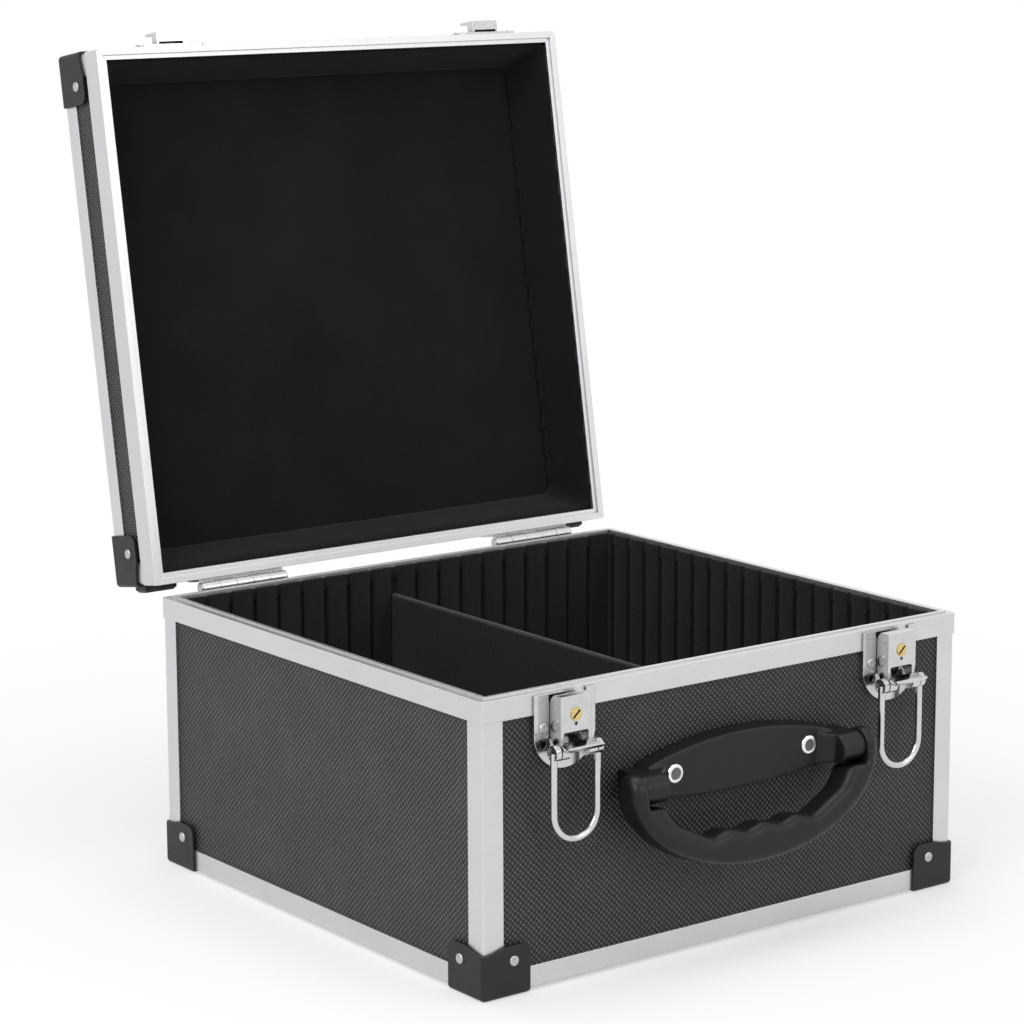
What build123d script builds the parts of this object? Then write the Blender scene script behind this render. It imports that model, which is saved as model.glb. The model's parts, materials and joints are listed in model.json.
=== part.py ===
from build123d import *
import os

# Storage case for compact discs: felt-lined panels held in aluminium profiles, with moulded
# corner caps, two draw latches, a carrying handle and a lid on two knuckle hinges.
# Millimetres, +Z up. The front, with latches and handle, faces -Y. The case is modelled about
# the centre of its base, on the surface that it stands on, with the lid closed, then opened. At
# the end it is moved along Y, so that the origin is the middle of the room that the open case
# takes up on that surface.

# Whole case
case_width = 310.0
case_depth = 290.0
body_height = 148.0            # standing surface to the parting plane
lid_height = 41.0              # parting plane to the top of the lid's profiles
lid_open_angle = 99.5          # the lid leans back on its hinge stops
parting_gap = 0.3              # between the two rims when closed
moving_gap = 0.3               # between parts that pass each other
running_clearance = 0.05       # radial, on every pin

# Panels and aluminium profiles
panel_thickness = 3.2
profile_wall = 1.2
profile_setback = 0.6          # posts and edge profiles sit this far inside the rims
profile_flange = 12.0          # width of the posts and edge profiles on each face
edge_flange = 11.0             # height of the edge profiles on the walls
profile_radius = 1.8           # rounding down the posts and the rims' corners
edge_radius = 1.1              # rounding along the edge profiles
body_rim_height = 11.0
lid_rim_height = 13.5
rim_web = 1.5
rim_lip_height = 5.0           # flange inside the panel
tongue_width = 2.2
tongue_height = 0.8
groove_depth = 1.1             # recess in the lid's rim over the tongue

# Corner caps
cap_wall = 1.5
cap_leg = 28.5
cap_height = 25.5
cap_end_radius = 5.0
cap_corner_radius = 2.4
cap_scoop_depth = 2.5          # dip in the cap's edge over the post
cap_scoop_radius = 19.0
cap_rivet_inset = 18.5
cap_rivet_level = 18.0
foot_proud = 3.6               # feet on the back caps
foot_width = 20.0
foot_height = 11.0
foot_chamfer = 1.5

# Lining
lining_backing = 1.0
lining_rib = 3.0
slot_width = 5.2
row_pitch = 15.5               # slots in the front and back linings
side_pitch = 14.6              # slots in the left and right linings
floor_lining_thickness = 3.0
lining_drop = 2.5              # top edge below the parting plane
divider_thickness = 4.6
divider_drop = 16.5            # top edge below the parting plane
divider_row = 0                # which slot it stands in, counted left of the middle
lid_recess_depth = 29.5
lid_lining_slope = 12.5        # how far the lid's side padding leans in

# Hinges
hinge_inset = 55.0             # middle of a hinge from the side of the case
hinge_width = 54.0
hinge_knuckles = 5
hinge_knuckle_radius = 3.4
hinge_offset = 5.0             # pin axis behind the rims
hinge_pin_radius = 1.5
hinge_pin_head = 0.8
hinge_pin_head_radius = 2.5
hinge_leaf_thickness = 1.6
hinge_leaf_height = 22.0
hinge_leaf_clear = 1.5         # pin axis to a leaf's inner edge
hinge_rivet_level = 18.4
hinge_rivet_pitch = 18.0
stop_gap = 0.15
stop_thickness = 1.75
stop_reach = 6.0

# Rivets, small and large
rivet_edge = 0.2               # straight rim under a head's dome
small_head_radius = 2.7
small_head_height = 0.9
small_shank_radius = 1.5
large_head_radius = 5.0
large_head_height = 1.3
large_shank_radius = 2.2
large_recess_radius = 3.3
large_recess_depth = 0.5
rivet_bite = 2.4               # how far a shank enters its panel

# Latches, measured out from the rim's front face and down from the parting plane
latch_clear_of_grip = 11.5     # between a bail and the end of the grip
latch_sheet = 1.2
latch_plate_width = 37.0
latch_plate_top = 1.4
latch_plate_knee = 23.3        # where the straight sides end
latch_plate_bottom = 39.2
latch_rivet_offset = 13.0
latch_rivet_drop = 18.0
latch_hole_radius = 1.9
latch_hole_drop = 26.0
lug_spread = 6.5               # middle of the latch to the inner face of a lug
lug_foot_top = 17.0
lug_foot_bottom = 24.0
lug_radius = 1.3
lever_width = 18.5
lever_wall = 0.9
lever_front = 10.0
lever_top = 1.8
lever_pivot_out = 7.5
lever_pivot_drop = 7.0
lever_pin_radius = 0.8
lever_cheek_bottom = 22.0
finger_slot_half = 7.6
finger_slot_top = 19.5
finger_slot_bottom = 24.9
barrel_drop = 28.5
barrel_out = 9.5
barrel_radius = 4.0
barrel_width = 21.2
barrel_gap_half = 5.5
lip_reach = 17.6
lip_sheet = 1.1
lip_rise = 1.4
bail_wire_radius = 1.8
bail_leg_spacing = 26.4
bail_length = 43.9
bail_eye_radius = 3.9
bail_eye_width = 3.0
bail_eye_recess = 0.8
plug_drop = 11.1
plug_head_radius = 3.3
plug_head_proud = 0.4
plug_body_radius = 2.6
plug_length = 5.2
key_slot_width = 1.1
key_slot_length = 5.6
key_slot_depth = 1.4
key_slot_angle = 48.0
index_hole_radius = 1.0
index_hole_drop = 15.7
cam_length = 7.2
cam_width = 2.6
cam_thickness = 1.0

# Strikes on the lid's front rim, measured up from the closed parting plane
strike_plate_width = 40.0
strike_plate_bottom = 0.8
strike_plate_top = 13.4
strike_corner_radius = 2.0
strike_rivet_offset = 16.5
strike_box_width = 17.5
strike_box_bottom = 3.0
strike_box_top = 8.2
strike_box_proud = 8.0
strike_window = 1.6            # open gap between the plate and the box
strike_lip_top = 16.5

# Handle
handle_axis_drop = 54.5
handle_axis_out = 14.3
bracket_half_length = 61.0
bracket_end_top = 9.5          # above the pivot axis
bracket_middle_top = 18.6
bracket_end_bottom = 8.5       # below the pivot axis
bracket_middle_bottom = 12.6
bracket_proud = 8.4
bracket_taper_angle = 6.0
bracket_rivet_offset = 44.0
bracket_rivet_rise = 3.0
neck_radius = 7.5
neck_lap = 4.0                 # how far a neck runs back over the dish
neck_length = 10.5             # and beyond it
neck_cover = 3.0               # plastic left over a pin's inner end
neck_ramp = 6.5                # slope from the dish's face up to a neck
knob_length = 8.2
knob_rounding = 4.0
grip_bottom_drop = 46.5        # pivot axis to the underside
grip_depth = 18.0
grip_rounding = 4.5
grip_rounding_share = 0.4      # of the thinnest wall, at most
grip_tilt = 8.0                # the grip hangs clear of the case
shoulder_clear = 1.6           # between a neck and the grip under it
finger_pitch = 22.0
finger_wall = 17.1             # from a dip to the grip's underside, in the middle
finger_ridge_rise = 3.2        # a ridge above the dips
finger_rounding = 8.0
finger_bend_run = 21.5         # from the outer dips out to the bend in the opening's side
finger_bend_rise = 10.9
finger_flare = 12.5            # from the bend out to the side at the pivot axis
handle_pin_radius = 2.5
handle_pin_cover = 3.5         # plastic left outside the pin's end

# Positions worked out from the above
half_width = case_width / 2
half_depth = case_depth / 2
panel_face = profile_setback + profile_wall      # depth from the rim face to the panel
panel_back = panel_face + panel_thickness
rim_back = panel_back + profile_wall
lining_thickness = lining_backing + lining_rib
lining_face = panel_back + lining_thickness
cap_proud = cap_wall - profile_setback           # cap faces beyond the rims
base_level = cap_wall                            # underside of the base profiles
floor_level = base_level + profile_wall + panel_thickness
floor_top = floor_level + floor_lining_thickness
wall_top = body_height - rim_web
lid_plane = body_height + parting_gap
lid_wall_bottom = lid_plane + groove_depth + rim_web
lid_top = body_height + lid_height
lid_roof = lid_top - profile_wall - panel_thickness
lid_floor = lid_plane + lid_recess_depth
hinge_y = half_depth + hinge_offset
hinge_z = body_height + parting_gap / 2
hinge_axis = Axis((0, hinge_y, hinge_z), (1, 0, 0))
neck_start = bracket_half_length - neck_lap
neck_end = bracket_half_length + neck_length
knob_start = neck_end + moving_gap
grip_half_length = knob_start + knob_length
knob_radius = grip_depth / 2
grip_shoulder_drop = neck_radius + shoulder_clear
finger_dip_drop = grip_bottom_drop - finger_wall
handle_pin_start = neck_start + neck_cover
handle_pin_end = grip_half_length - handle_pin_cover
latch_centre = grip_half_length + latch_clear_of_grip + bail_wire_radius + bail_leg_spacing / 2
hinge_centre = half_width - hinge_inset
latch_centres = {"left": -latch_centre, "right": latch_centre}
hinge_centres = {"left": -hinge_centre, "right": hinge_centre}
corner_signs = [(-1, -1), (1, -1), (1, 1), (-1, 1)]
side_angles = {"front": 0, "right": 90, "back": 180, "left": 270}
sides = {side: (turn, half_depth, half_width) if side in ("front", "back") else
         (turn, half_width, half_depth) for side, turn in side_angles.items()}


def block(x, y, z):
    """A box between two values along each axis."""
    spans = (x, y, z)
    size = [high - low for low, high in spans]
    middle = [(low + high) / 2 for low, high in spans]
    return Pos(*middle) * Box(*size)


def rod(x, y, z, radius):
    """A round bar along X between two values."""
    return Pos((x[0] + x[1]) / 2, y, z) * Rot(0, 90, 0) * Cylinder(radius, x[1] - x[0])


def prism_x(points, x):
    """An outline of (y, z) points, run along X between two values."""
    face = make_face(Polyline(*[(x[0], y, z) for y, z in points], close=True))
    return extrude(face, amount=x[1] - x[0], dir=(1, 0, 0))


def both(part):
    """A part with its mirror image across the middle of the local X axis."""
    return part + mirror(part, Plane.YZ)


def opened(part):
    """Swing a lid part from closed to the open rest position."""
    return part.rotate(hinge_axis, -lid_open_angle)


def side_run(section, side, trim=0.0, mitred=False):
    """Run a section of (depth from the rim face, z) points along one side of the case."""
    turn, face_distance, half_run = sides[side]
    reach = half_run - trim
    run = prism_x([(-face_distance + depth, z) for depth, z in section], (-reach, reach))
    if mitred:
        deep = max(depth for depth, z in section)
        low = min(z for depth, z in section)
        high = max(z for depth, z in section)
        corners = [(-reach, -face_distance), (reach, -face_distance),
                   (reach - deep, -face_distance + deep), (-reach + deep, -face_distance + deep)]
        wedge = extrude(make_face(Polyline(*[(x, y, low) for x, y in corners], close=True)),
                        amount=high - low, dir=(0, 0, 1))
        run = run & wedge
    return run.rotate(Axis.Z, turn)


def rounded_plan(outset, z):
    """The case's plan, grown by an outset and with rounded corners, between two heights."""
    plan = RectangleRounded(case_width + 2 * outset, case_depth + 2 * outset, profile_radius)
    return Pos(0, 0, z[0]) * extrude(plan, amount=z[1] - z[0])


# Rivets
def rivet(spot, kind):
    """A rivet whose head sits at a spot (position, outward direction, grip)."""
    position, outward, grip = spot
    head_radius, head_height, shank_radius = kind
    head = Pos(0, 0, head_height / 2) * Cylinder(head_radius, head_height)
    head = fillet(head.faces().sort_by(Axis.Z)[-1].edges(), head_height - rivet_edge)
    if kind == large_rivet:
        recess_floor = head_height - large_recess_depth
        head -= Pos(0, 0, recess_floor + head_height / 2) * Cylinder(large_recess_radius, head_height)
    whole = head + Pos(0, 0, -grip / 2) * Cylinder(shank_radius, grip)
    return Plane(origin=position, z_dir=outward).location * whole


def shank(spot, kind):
    """The hole that a rivet's shank fills."""
    position, outward, grip = spot
    return Plane(origin=position, z_dir=outward).location * (Pos(0, 0, -grip / 2) * Cylinder(kind[2], grip))


small_rivet = (small_head_radius, small_head_height, small_shank_radius)
large_rivet = (large_head_radius, large_head_height, large_shank_radius)


def head_room(spot):
    """A counterbore over a small rivet, where a cap's foot surrounds it."""
    position, outward, grip = spot
    bore = Pos(0, 0, foot_proud) * Cylinder(small_head_radius + moving_gap, 2 * foot_proud)
    return Plane(origin=position, z_dir=outward).location * bore


def cap_spots(level):
    """Two rivets on each corner cap, at one height."""
    inset = cap_rivet_inset - cap_proud
    grip = cap_wall + profile_wall + rivet_bite
    spots = []
    for sx, sy in corner_signs:
        spots.append(((sx * (half_width + cap_proud), sy * (half_depth - inset), level), (sx, 0, 0), grip))
        spots.append(((sx * (half_width - inset), sy * (half_depth + cap_proud), level), (0, sy, 0), grip))
    return spots


def hinge_spots(level):
    """Three rivets through each hinge leaf."""
    y = half_depth - panel_face + hinge_leaf_thickness
    grip = hinge_leaf_thickness + rivet_bite
    return [((centre + step * hinge_rivet_pitch, y, level), (0, 1, 0), grip)
            for centre in hinge_centres.values() for step in (-1, 0, 1)]


def latch_spots():
    """Two rivets through each latch's base plate."""
    grip = latch_sheet + panel_face + rivet_bite
    return [((centre + sign * latch_rivet_offset, -half_depth - latch_sheet, body_height - latch_rivet_drop),
             (0, -1, 0), grip) for centre in latch_centres.values() for sign in (-1, 1)]


def strike_spots():
    """Two rivets through each strike, in the middle of the lid rim's height."""
    level = body_height + (strike_plate_bottom + strike_plate_top) / 2
    grip = latch_sheet + panel_face + rivet_bite
    return [((centre + sign * strike_rivet_offset, -half_depth - latch_sheet, level), (0, -1, 0), grip)
            for centre in latch_centres.values() for sign in (-1, 1)]


def bracket_spots():
    """Two large rivets that hold the handle's bracket."""
    level = body_height - handle_axis_drop + bracket_rivet_rise
    grip = bracket_proud + panel_face + rivet_bite
    return [((sign * bracket_rivet_offset, -half_depth - bracket_proud, level), (0, -1, 0), grip)
            for sign in (-1, 1)]


body_cap_spots = cap_spots(cap_rivet_level)
lid_cap_spots = cap_spots(lid_top + cap_wall - cap_rivet_level)
body_small_spots = hinge_spots(hinge_z - hinge_rivet_level) + latch_spots()
lid_small_spots = hinge_spots(hinge_z + hinge_rivet_level) + strike_spots()
body_holes = [(spot, small_rivet) for spot in body_cap_spots + body_small_spots]
body_holes += [(spot, large_rivet) for spot in bracket_spots()]
lid_holes = [(spot, small_rivet) for spot in lid_cap_spots + lid_small_spots]


def drilled(part, holes, outward=None):
    """Cut the shanks of the rivets that point one way, or of them all."""
    cutters = [shank(spot, kind) for spot, kind in holes if outward is None or spot[1] == outward]
    return part - cutters


def rivets(spots, kind):
    return [rivet(spot, kind) for spot in spots]


# Panels
def wall_panels(z, holes):
    """Front and back panels run to the side faces; left and right ones stand between them."""
    x_face = half_width - panel_face
    y_face = half_depth - panel_face
    y_inner = half_depth - panel_back
    x_inner = half_width - panel_back
    walls = {"front": block((-x_face, x_face), (-y_face, -y_inner), z),
             "back": block((-x_face, x_face), (y_inner, y_face), z),
             "left": block((-x_face, -x_inner), (-y_inner, y_inner), z),
             "right": block((x_inner, x_face), (-y_inner, y_inner), z)}
    outwards = {"front": (0, -1, 0), "back": (0, 1, 0), "left": (-1, 0, 0), "right": (1, 0, 0)}
    return {side: drilled(wall, holes, outwards[side]) for side, wall in walls.items()}


def flat_panel(bottom):
    """The base or the roof of the case."""
    x_face = half_width - panel_face
    y_face = half_depth - panel_face
    return block((-x_face, x_face), (-y_face, y_face), (bottom, bottom + panel_thickness))


# Aluminium profiles
def corner_posts(z):
    """Four angle profiles up the corners."""
    posts = []
    for sx, sy in corner_signs:
        x_out = half_width - profile_setback
        y_out = half_depth - profile_setback
        outer = block((x_out - profile_flange, x_out), (y_out - profile_flange, y_out), z)
        corner = outer.edges().filter_by(Axis.Z).sort_by_distance((x_out, y_out, z[0]))[0]
        angle = fillet(corner, profile_radius) - block((x_out - 2 * profile_flange, x_out - profile_wall),
                                                       (y_out - 2 * profile_flange, y_out - profile_wall), z)
        if sx < 0:
            angle = mirror(angle, Plane.YZ)
        if sy < 0:
            angle = mirror(angle, Plane.XZ)
        posts.append(angle)
    return posts


def edge_profiles(level, up):
    """Four angle profiles round the base (up = 1) or the roof (up = -1), between the posts."""
    section = [(profile_setback, level), (profile_setback + profile_flange, level),
               (profile_setback + profile_flange, level + up * profile_wall),
               (panel_face, level + up * profile_wall), (panel_face, level + up * edge_flange),
               (profile_setback, level + up * edge_flange)]
    runs = []
    for side, (turn, face_distance, half_run) in sides.items():
        run = side_run(section, side, trim=profile_setback + profile_flange)
        outer = Vector(0, -face_distance + profile_setback, level).rotate(Axis.Z, turn)
        corner = run.edges().filter_by(Axis.X if turn % 180 == 0 else Axis.Y).sort_by_distance(outer)[0]
        runs.append(fillet(corner, edge_radius))
    return runs


def body_rim(side):
    """One mitred length of the body's rim, with the tongue that meets the lid."""
    top = body_height
    tongue = rim_back - tongue_width
    section = [(0, top - body_rim_height), (0, top), (tongue, top), (tongue, top + tongue_height),
               (rim_back, top + tongue_height), (rim_back, top - rim_lip_height),
               (panel_back, top - rim_lip_height), (panel_back, top - rim_web),
               (profile_wall, top - rim_web), (profile_wall, top - body_rim_height)]
    run = side_run(section, side, mitred=True) & rounded_plan(0, (0, lid_top))
    return drilled(run, body_holes, (0, -1, 0)) if side == "front" else run


def lid_rim(side):
    """One mitred length of the lid's rim, with the groove over the body's tongue."""
    low = lid_plane
    groove = rim_back - tongue_width - moving_gap
    section = [(0, low + lid_rim_height), (0, low), (groove, low), (groove, low + groove_depth),
               (rim_back, low + groove_depth), (rim_back, low + groove_depth + rim_lip_height),
               (panel_back, low + groove_depth + rim_lip_height), (panel_back, lid_wall_bottom),
               (profile_wall, lid_wall_bottom), (profile_wall, low + lid_rim_height)]
    run = side_run(section, side, mitred=True) & rounded_plan(0, (0, lid_top))
    return drilled(run, lid_holes, (0, -1, 0)) if side == "front" else run


# Corner caps
def cap_outline(width, height):
    """A face plate whose far corners are rounded, standing on the local X axis."""
    plate = Pos(width / 2, 0, height / 2) * Box(width, 2 * width, height)
    far = plate.edges().filter_by(Axis.Y)
    top = far.sort_by_distance((width, 0, height))[0]
    low = far.sort_by_distance((width, 0, 0))[0]
    return fillet(low, cap_end_radius / 2) & fillet(top, cap_end_radius)


def corner_cap(foot):
    """A cap for the corner at the local origin, its legs running along +X, +Y and +Z."""
    outer = block((0, cap_leg), (0, cap_leg), (0, cap_height))
    edges = [outer.edges().filter_by(axis).sort_by_distance((0, 0, 0))[0]
             for axis in (Axis.X, Axis.Y, Axis.Z)]
    outer = fillet(edges, cap_corner_radius)
    outline = cap_outline(cap_leg, cap_height)
    outer = outer & outline & mirror(outline.rotate(Axis.Z, 90), Plane.YZ)
    cap = outer - block((cap_wall, 2 * cap_leg), (cap_wall, 2 * cap_leg), (cap_wall, 2 * cap_height))
    scoop = Rot(0, 0, 45) * Rot(0, 90, 0) * Cylinder(cap_scoop_radius, 4 * cap_leg)
    cap = cap - Pos(0, 0, cap_height - cap_scoop_depth + cap_scoop_radius) * scoop
    if foot:
        foot_x = (cap_leg - foot_width) / 2
        block_foot = block((foot_x, foot_x + foot_width), (-foot_proud, cap_wall / 2),
                           (cap_height - foot_height, cap_height - foot_chamfer / 2))
        face = block_foot.faces().sort_by(Axis.Y)[0]
        cap = cap + chamfer(face.edges(), foot_chamfer)
    return cap


def corner_caps(level, up, holes):
    """Four caps on the base (up = 1) or the roof (up = -1); the back ones carry feet."""
    caps = []
    for sx, sy in corner_signs:
        cap = corner_cap(foot=sy > 0)
        if up < 0:
            cap = mirror(cap, Plane.XY)
        if sx > 0:
            cap = mirror(cap, Plane.YZ)
        if sy > 0:
            cap = mirror(cap, Plane.XZ)
        cap = Pos(sx * (half_width + cap_proud), sy * (half_depth + cap_proud), level) * cap
        near = [hole for hole in holes if hole[0][0][0] * sx > 0 and hole[0][0][1] * sy > 0]
        caps.append(drilled(cap, near) - [head_room(spot) for spot, kind in near if kind == small_rivet])
    return caps


# Lining
def slot_centres(pitch, first, limit):
    """Slots at a steady pitch, out to where the next one would not fit whole."""
    spots = []
    place = first
    while place + slot_width / 2 < limit:
        spots += [place] if place == 0 else [-place, place]
        place += pitch
    return spots


def wall_lining(side):
    """A ribbed felt lining with a slot for a divider between each pair of ribs."""
    top = body_height - lining_drop
    section = [(panel_back, floor_top), (lining_face, floor_top), (lining_face, top), (rim_back, top),
               (rim_back, body_height - rim_lip_height), (panel_back, body_height - rim_lip_height)]
    across = side in ("front", "back")
    trim = panel_back if across else lining_face
    lining = side_run(section, side, trim=trim)
    turn, face_distance, half_run = sides[side]
    limit = half_run - lining_face
    centres = slot_centres(row_pitch, row_pitch / 2, limit) if across else slot_centres(side_pitch, 0, limit)
    slots = [block((place - slot_width / 2, place + slot_width / 2),
                   (-face_distance + panel_back + lining_backing, -face_distance + lining_face + slot_width),
                   (floor_top, body_height)).rotate(Axis.Z, turn) for place in centres]
    lips = [block((low, low + rim_back), (-half_depth, half_depth),
                  (body_height - rim_lip_height, body_height))
            for low in (-half_width, half_width - rim_back)]
    return lining - slots - lips


def floor_lining():
    x = half_width - panel_back
    y = half_depth - panel_back
    return block((-x, x), (-y, y), (floor_level, floor_top))


def divider():
    """A felt-covered board that stands in one pair of facing slots."""
    place = -row_pitch * (divider_row + 0.5)
    reach = half_depth - max(panel_back + lining_backing, rim_back) - moving_gap
    board = block((place - divider_thickness / 2, place + divider_thickness / 2), (-reach, reach),
                  (floor_top, body_height - divider_drop))
    top = board.faces().sort_by(Axis.Z)[-1].edges().filter_by(Axis.Y)
    return fillet(top, divider_thickness / 4)


def lid_pad():
    """The flat felt pad under the lid's roof."""
    x = half_width - panel_back
    y = half_depth - panel_back
    return block((-x, x), (-y, y), (lid_floor, lid_roof))


def lid_side_lining():
    """Sloping felt padding round the inside of the lid."""
    low = lid_plane + groove_depth
    lip = low + rim_lip_height
    section = [(panel_back, lip), (rim_back, lip), (rim_back, low), (rim_back + moving_gap, low),
               (rim_back + lid_lining_slope, lid_floor), (panel_back, lid_floor)]
    return [side_run(section, side, mitred=True) for side in sides]


# Hinges
def hinge_leaf(centre, up, rim_edge, own_knuckles, bore, holes):
    """A leaf on the back of the body (up = -1) or of the lid (up = 1), stepped round the rim."""
    rim_face = half_depth
    low_face = half_depth - panel_face
    outer = rim_face + hinge_leaf_thickness
    low_outer = low_face + hinge_leaf_thickness
    step = abs(rim_edge - hinge_z)
    heights = [(rim_face, hinge_leaf_clear), (outer, hinge_leaf_clear), (outer, step),
               (low_outer, step + panel_face), (low_outer, hinge_leaf_height),
               (low_face, hinge_leaf_height), (low_face, step + panel_face), (rim_face, step)]
    half = hinge_width / 2
    leaf = prism_x([(y, hinge_z + up * height) for y, height in heights], (centre - half, centre + half))
    pitch = hinge_width / hinge_knuckles
    for number in own_knuckles:
        start = centre - half + number * pitch + (moving_gap / 2 if number else 0)
        end = centre - half + (number + 1) * pitch - (moving_gap / 2 if number < hinge_knuckles - 1 else 0)
        web_ends = sorted(hinge_z + up * (hinge_leaf_clear + reach) for reach in (0, hinge_leaf_thickness))
        web = block((start, end), (rim_face, hinge_y - hinge_pin_radius), web_ends)
        leaf = leaf + web + rod((start, end), hinge_y, hinge_z, hinge_knuckle_radius)
    leaf = leaf - rod((centre - half, centre + half), hinge_y, hinge_z, bore)
    return drilled(leaf, holes, (0, 1, 0))


def body_leaf(centre):
    own = range(0, hinge_knuckles, 2)
    return hinge_leaf(centre, -1, body_height - body_rim_height, own, hinge_pin_radius, body_holes)


def lid_leaf(centre):
    """The lid's leaf, opened, with ears that stop against the body's leaf."""
    own = range(1, hinge_knuckles, 2)
    bore = hinge_pin_radius + running_clearance
    leaf = opened(hinge_leaf(centre, 1, lid_plane + lid_rim_height, own, bore, lid_holes))
    pitch = hinge_width / hinge_knuckles
    near = half_depth + hinge_leaf_thickness + stop_gap
    for number in own:
        start = centre - hinge_width / 2 + number * pitch + moving_gap / 2
        ear = block((start, start + pitch - moving_gap), (near, near + stop_thickness),
                    (hinge_z - stop_reach, hinge_z - hinge_knuckle_radius + stop_thickness / 2))
        leaf = leaf + ear
    return leaf


def hinge_pin(centre):
    half = hinge_width / 2
    pin = rod((centre - half, centre + half), hinge_y, hinge_z, hinge_pin_radius)
    for side in (-1, 1):
        ends = sorted((centre + side * half, centre + side * (half + hinge_pin_head)))
        pin = pin + rod(ends, hinge_y, hinge_z, hinge_pin_head_radius)
    return pin


# Latches. Local frame: X along the rim, -Y out from its face, Z from the parting plane.
def on_front(centre, part):
    return Pos(centre, -half_depth, body_height) * part


def disc(x, y, z, radius):
    """A round bar along Y between two values."""
    return Pos(x, (y[0] + y[1]) / 2, z) * Rot(90, 0, 0) * Cylinder(radius, y[1] - y[0])


def shield(inset, y):
    """The base plate's outline, shrunk by an inset, between two depths."""
    half = latch_plate_width / 2 - inset
    knee = -latch_plate_knee
    low = -latch_plate_bottom + inset
    top = -latch_plate_top
    outline = [Line((half, y[0], knee), (half, y[0], top)), Line((half, y[0], top), (-half, y[0], top)),
               Line((-half, y[0], top), (-half, y[0], knee)),
               ThreePointArc((-half, y[0], knee), (0, y[0], low), (half, y[0], knee))]
    return extrude(make_face(outline), amount=y[1] - y[0], dir=(0, 1, 0))


def lug():
    """One of the two lugs that carry the lever's pin, leaning up from the base plate."""
    foot_out = latch_sheet
    slope_out = lever_pivot_out - foot_out
    slope_up = (lug_foot_top + lug_foot_bottom) / 2 - lever_pivot_drop
    length = (slope_out ** 2 + slope_up ** 2) ** 0.5
    side_out = lug_radius * slope_up / length
    side_up = lug_radius * slope_out / length
    points = [(-foot_out, -lug_foot_top), (-lever_pivot_out + side_out, -lever_pivot_drop + side_up),
              (-lever_pivot_out - side_out, -lever_pivot_drop - side_up), (-foot_out, -lug_foot_bottom)]
    x = (lug_spread, lug_spread + latch_sheet)
    web = prism_x(points, x) + rod(x, -lever_pivot_out, -lever_pivot_drop, lug_radius)
    return web - rod(x, -lever_pivot_out, -lever_pivot_drop, lever_pin_radius)


def cam_plane():
    """Inner and outer distance of the lock's cam from the rim's face."""
    inner = lever_front - lever_wall - plug_length + plug_head_proud
    return inner - cam_thickness, inner


def latch_base(centre):
    """Base plate with turned-back edges, two lugs and a notch that the lock's cam enters."""
    plate = shield(0, (-latch_sheet, panel_face)) - shield(latch_sheet, (0, 2 * panel_face))
    rim_space = block((-latch_plate_width, latch_plate_width), (0, 2 * panel_face), (-body_rim_height, 0))
    plate = plate - rim_space
    hole = disc(latch_rivet_offset, (-latch_sheet, 0), -latch_hole_drop, latch_hole_radius)
    notch_low = -plug_drop - cam_width / 2 - moving_gap
    notch = block((0, 2 * lug_spread), (-cam_plane()[1] - moving_gap, 0), (notch_low, 0))
    base = plate - both(hole) + both(lug()) - notch
    return drilled(on_front(centre, base), body_holes, (0, -1, 0))


def latch_pin(centre):
    half = lever_width / 2
    return on_front(centre, rod((-half, half), -lever_pivot_out, -lever_pivot_drop, lever_pin_radius))


def lever_cheek():
    """One side wall of the lever, rounded over the pivot so that it can swing."""
    inner = latch_sheet + moving_gap
    swing = lever_pivot_out - inner
    half = lever_width / 2
    x = (half - lever_wall, half)
    points = [(-inner, -lever_pivot_drop), (-inner, -lever_cheek_bottom),
              (-barrel_out + barrel_radius, -barrel_drop), (-lever_front, -barrel_drop),
              (-lever_front, -lever_pivot_drop)]
    crown = rod(x, -lever_pivot_out, -lever_pivot_drop, swing)
    crown = crown & block(x, (-lever_front, 0), (-lever_pivot_drop - swing, -lever_top))
    return prism_x(points, x) + crown


def latch_lever(centre):
    """A sheet lever: box front with a lock hole, finger slot, lip and two bail barrels."""
    half = lever_width / 2
    inner = lever_front - lever_wall
    swing = lever_pivot_out - latch_sheet - moving_gap
    front = block((-half, half), (-lever_front, -inner), (-barrel_drop, -lever_top))
    roof = block((-half, half), (-lever_front, 0), (-lever_top - lever_wall, -lever_top))
    roof = roof & rod((-half, half), -lever_pivot_out, -lever_pivot_drop, swing)
    slot = block((-finger_slot_half, finger_slot_half), (-lever_front * 2, 0),
                 (-finger_slot_bottom, -finger_slot_top))
    slot = fillet(slot.edges().filter_by(Axis.Y), lever_wall)
    lever = both(lever_cheek()) + front + roof - slot
    barrel_half = barrel_width / 2
    barrel = rod((barrel_gap_half, barrel_half), -barrel_out, -barrel_drop, barrel_radius)
    top = -barrel_drop + barrel_radius
    lip_points = [(-barrel_out, top), (-lip_reach + lip_rise, top - lip_sheet - lip_rise / 2),
                  (-lip_reach, top - lip_sheet + lip_rise / 2), (-lip_reach - lip_sheet, top - lip_sheet),
                  (-lip_reach + lip_rise / 2, top - 2 * lip_sheet - lip_rise / 2),
                  (-barrel_out, top - 2 * lip_sheet)]
    lever = lever + both(barrel) + prism_x(lip_points, (-barrel_half, barrel_half))
    lever = lever - rod((-barrel_half, barrel_half), -barrel_out, -barrel_drop,
                        bail_wire_radius + running_clearance)
    lever = lever - rod((-half, half), -lever_pivot_out, -lever_pivot_drop,
                        lever_pin_radius + running_clearance)
    keyway = disc(0, (-lever_front, -inner), -plug_drop, plug_head_radius + running_clearance)
    index = disc(0, (-lever_front, -inner), -index_hole_drop, index_hole_radius)
    return on_front(centre, lever - keyway - index)


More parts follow.
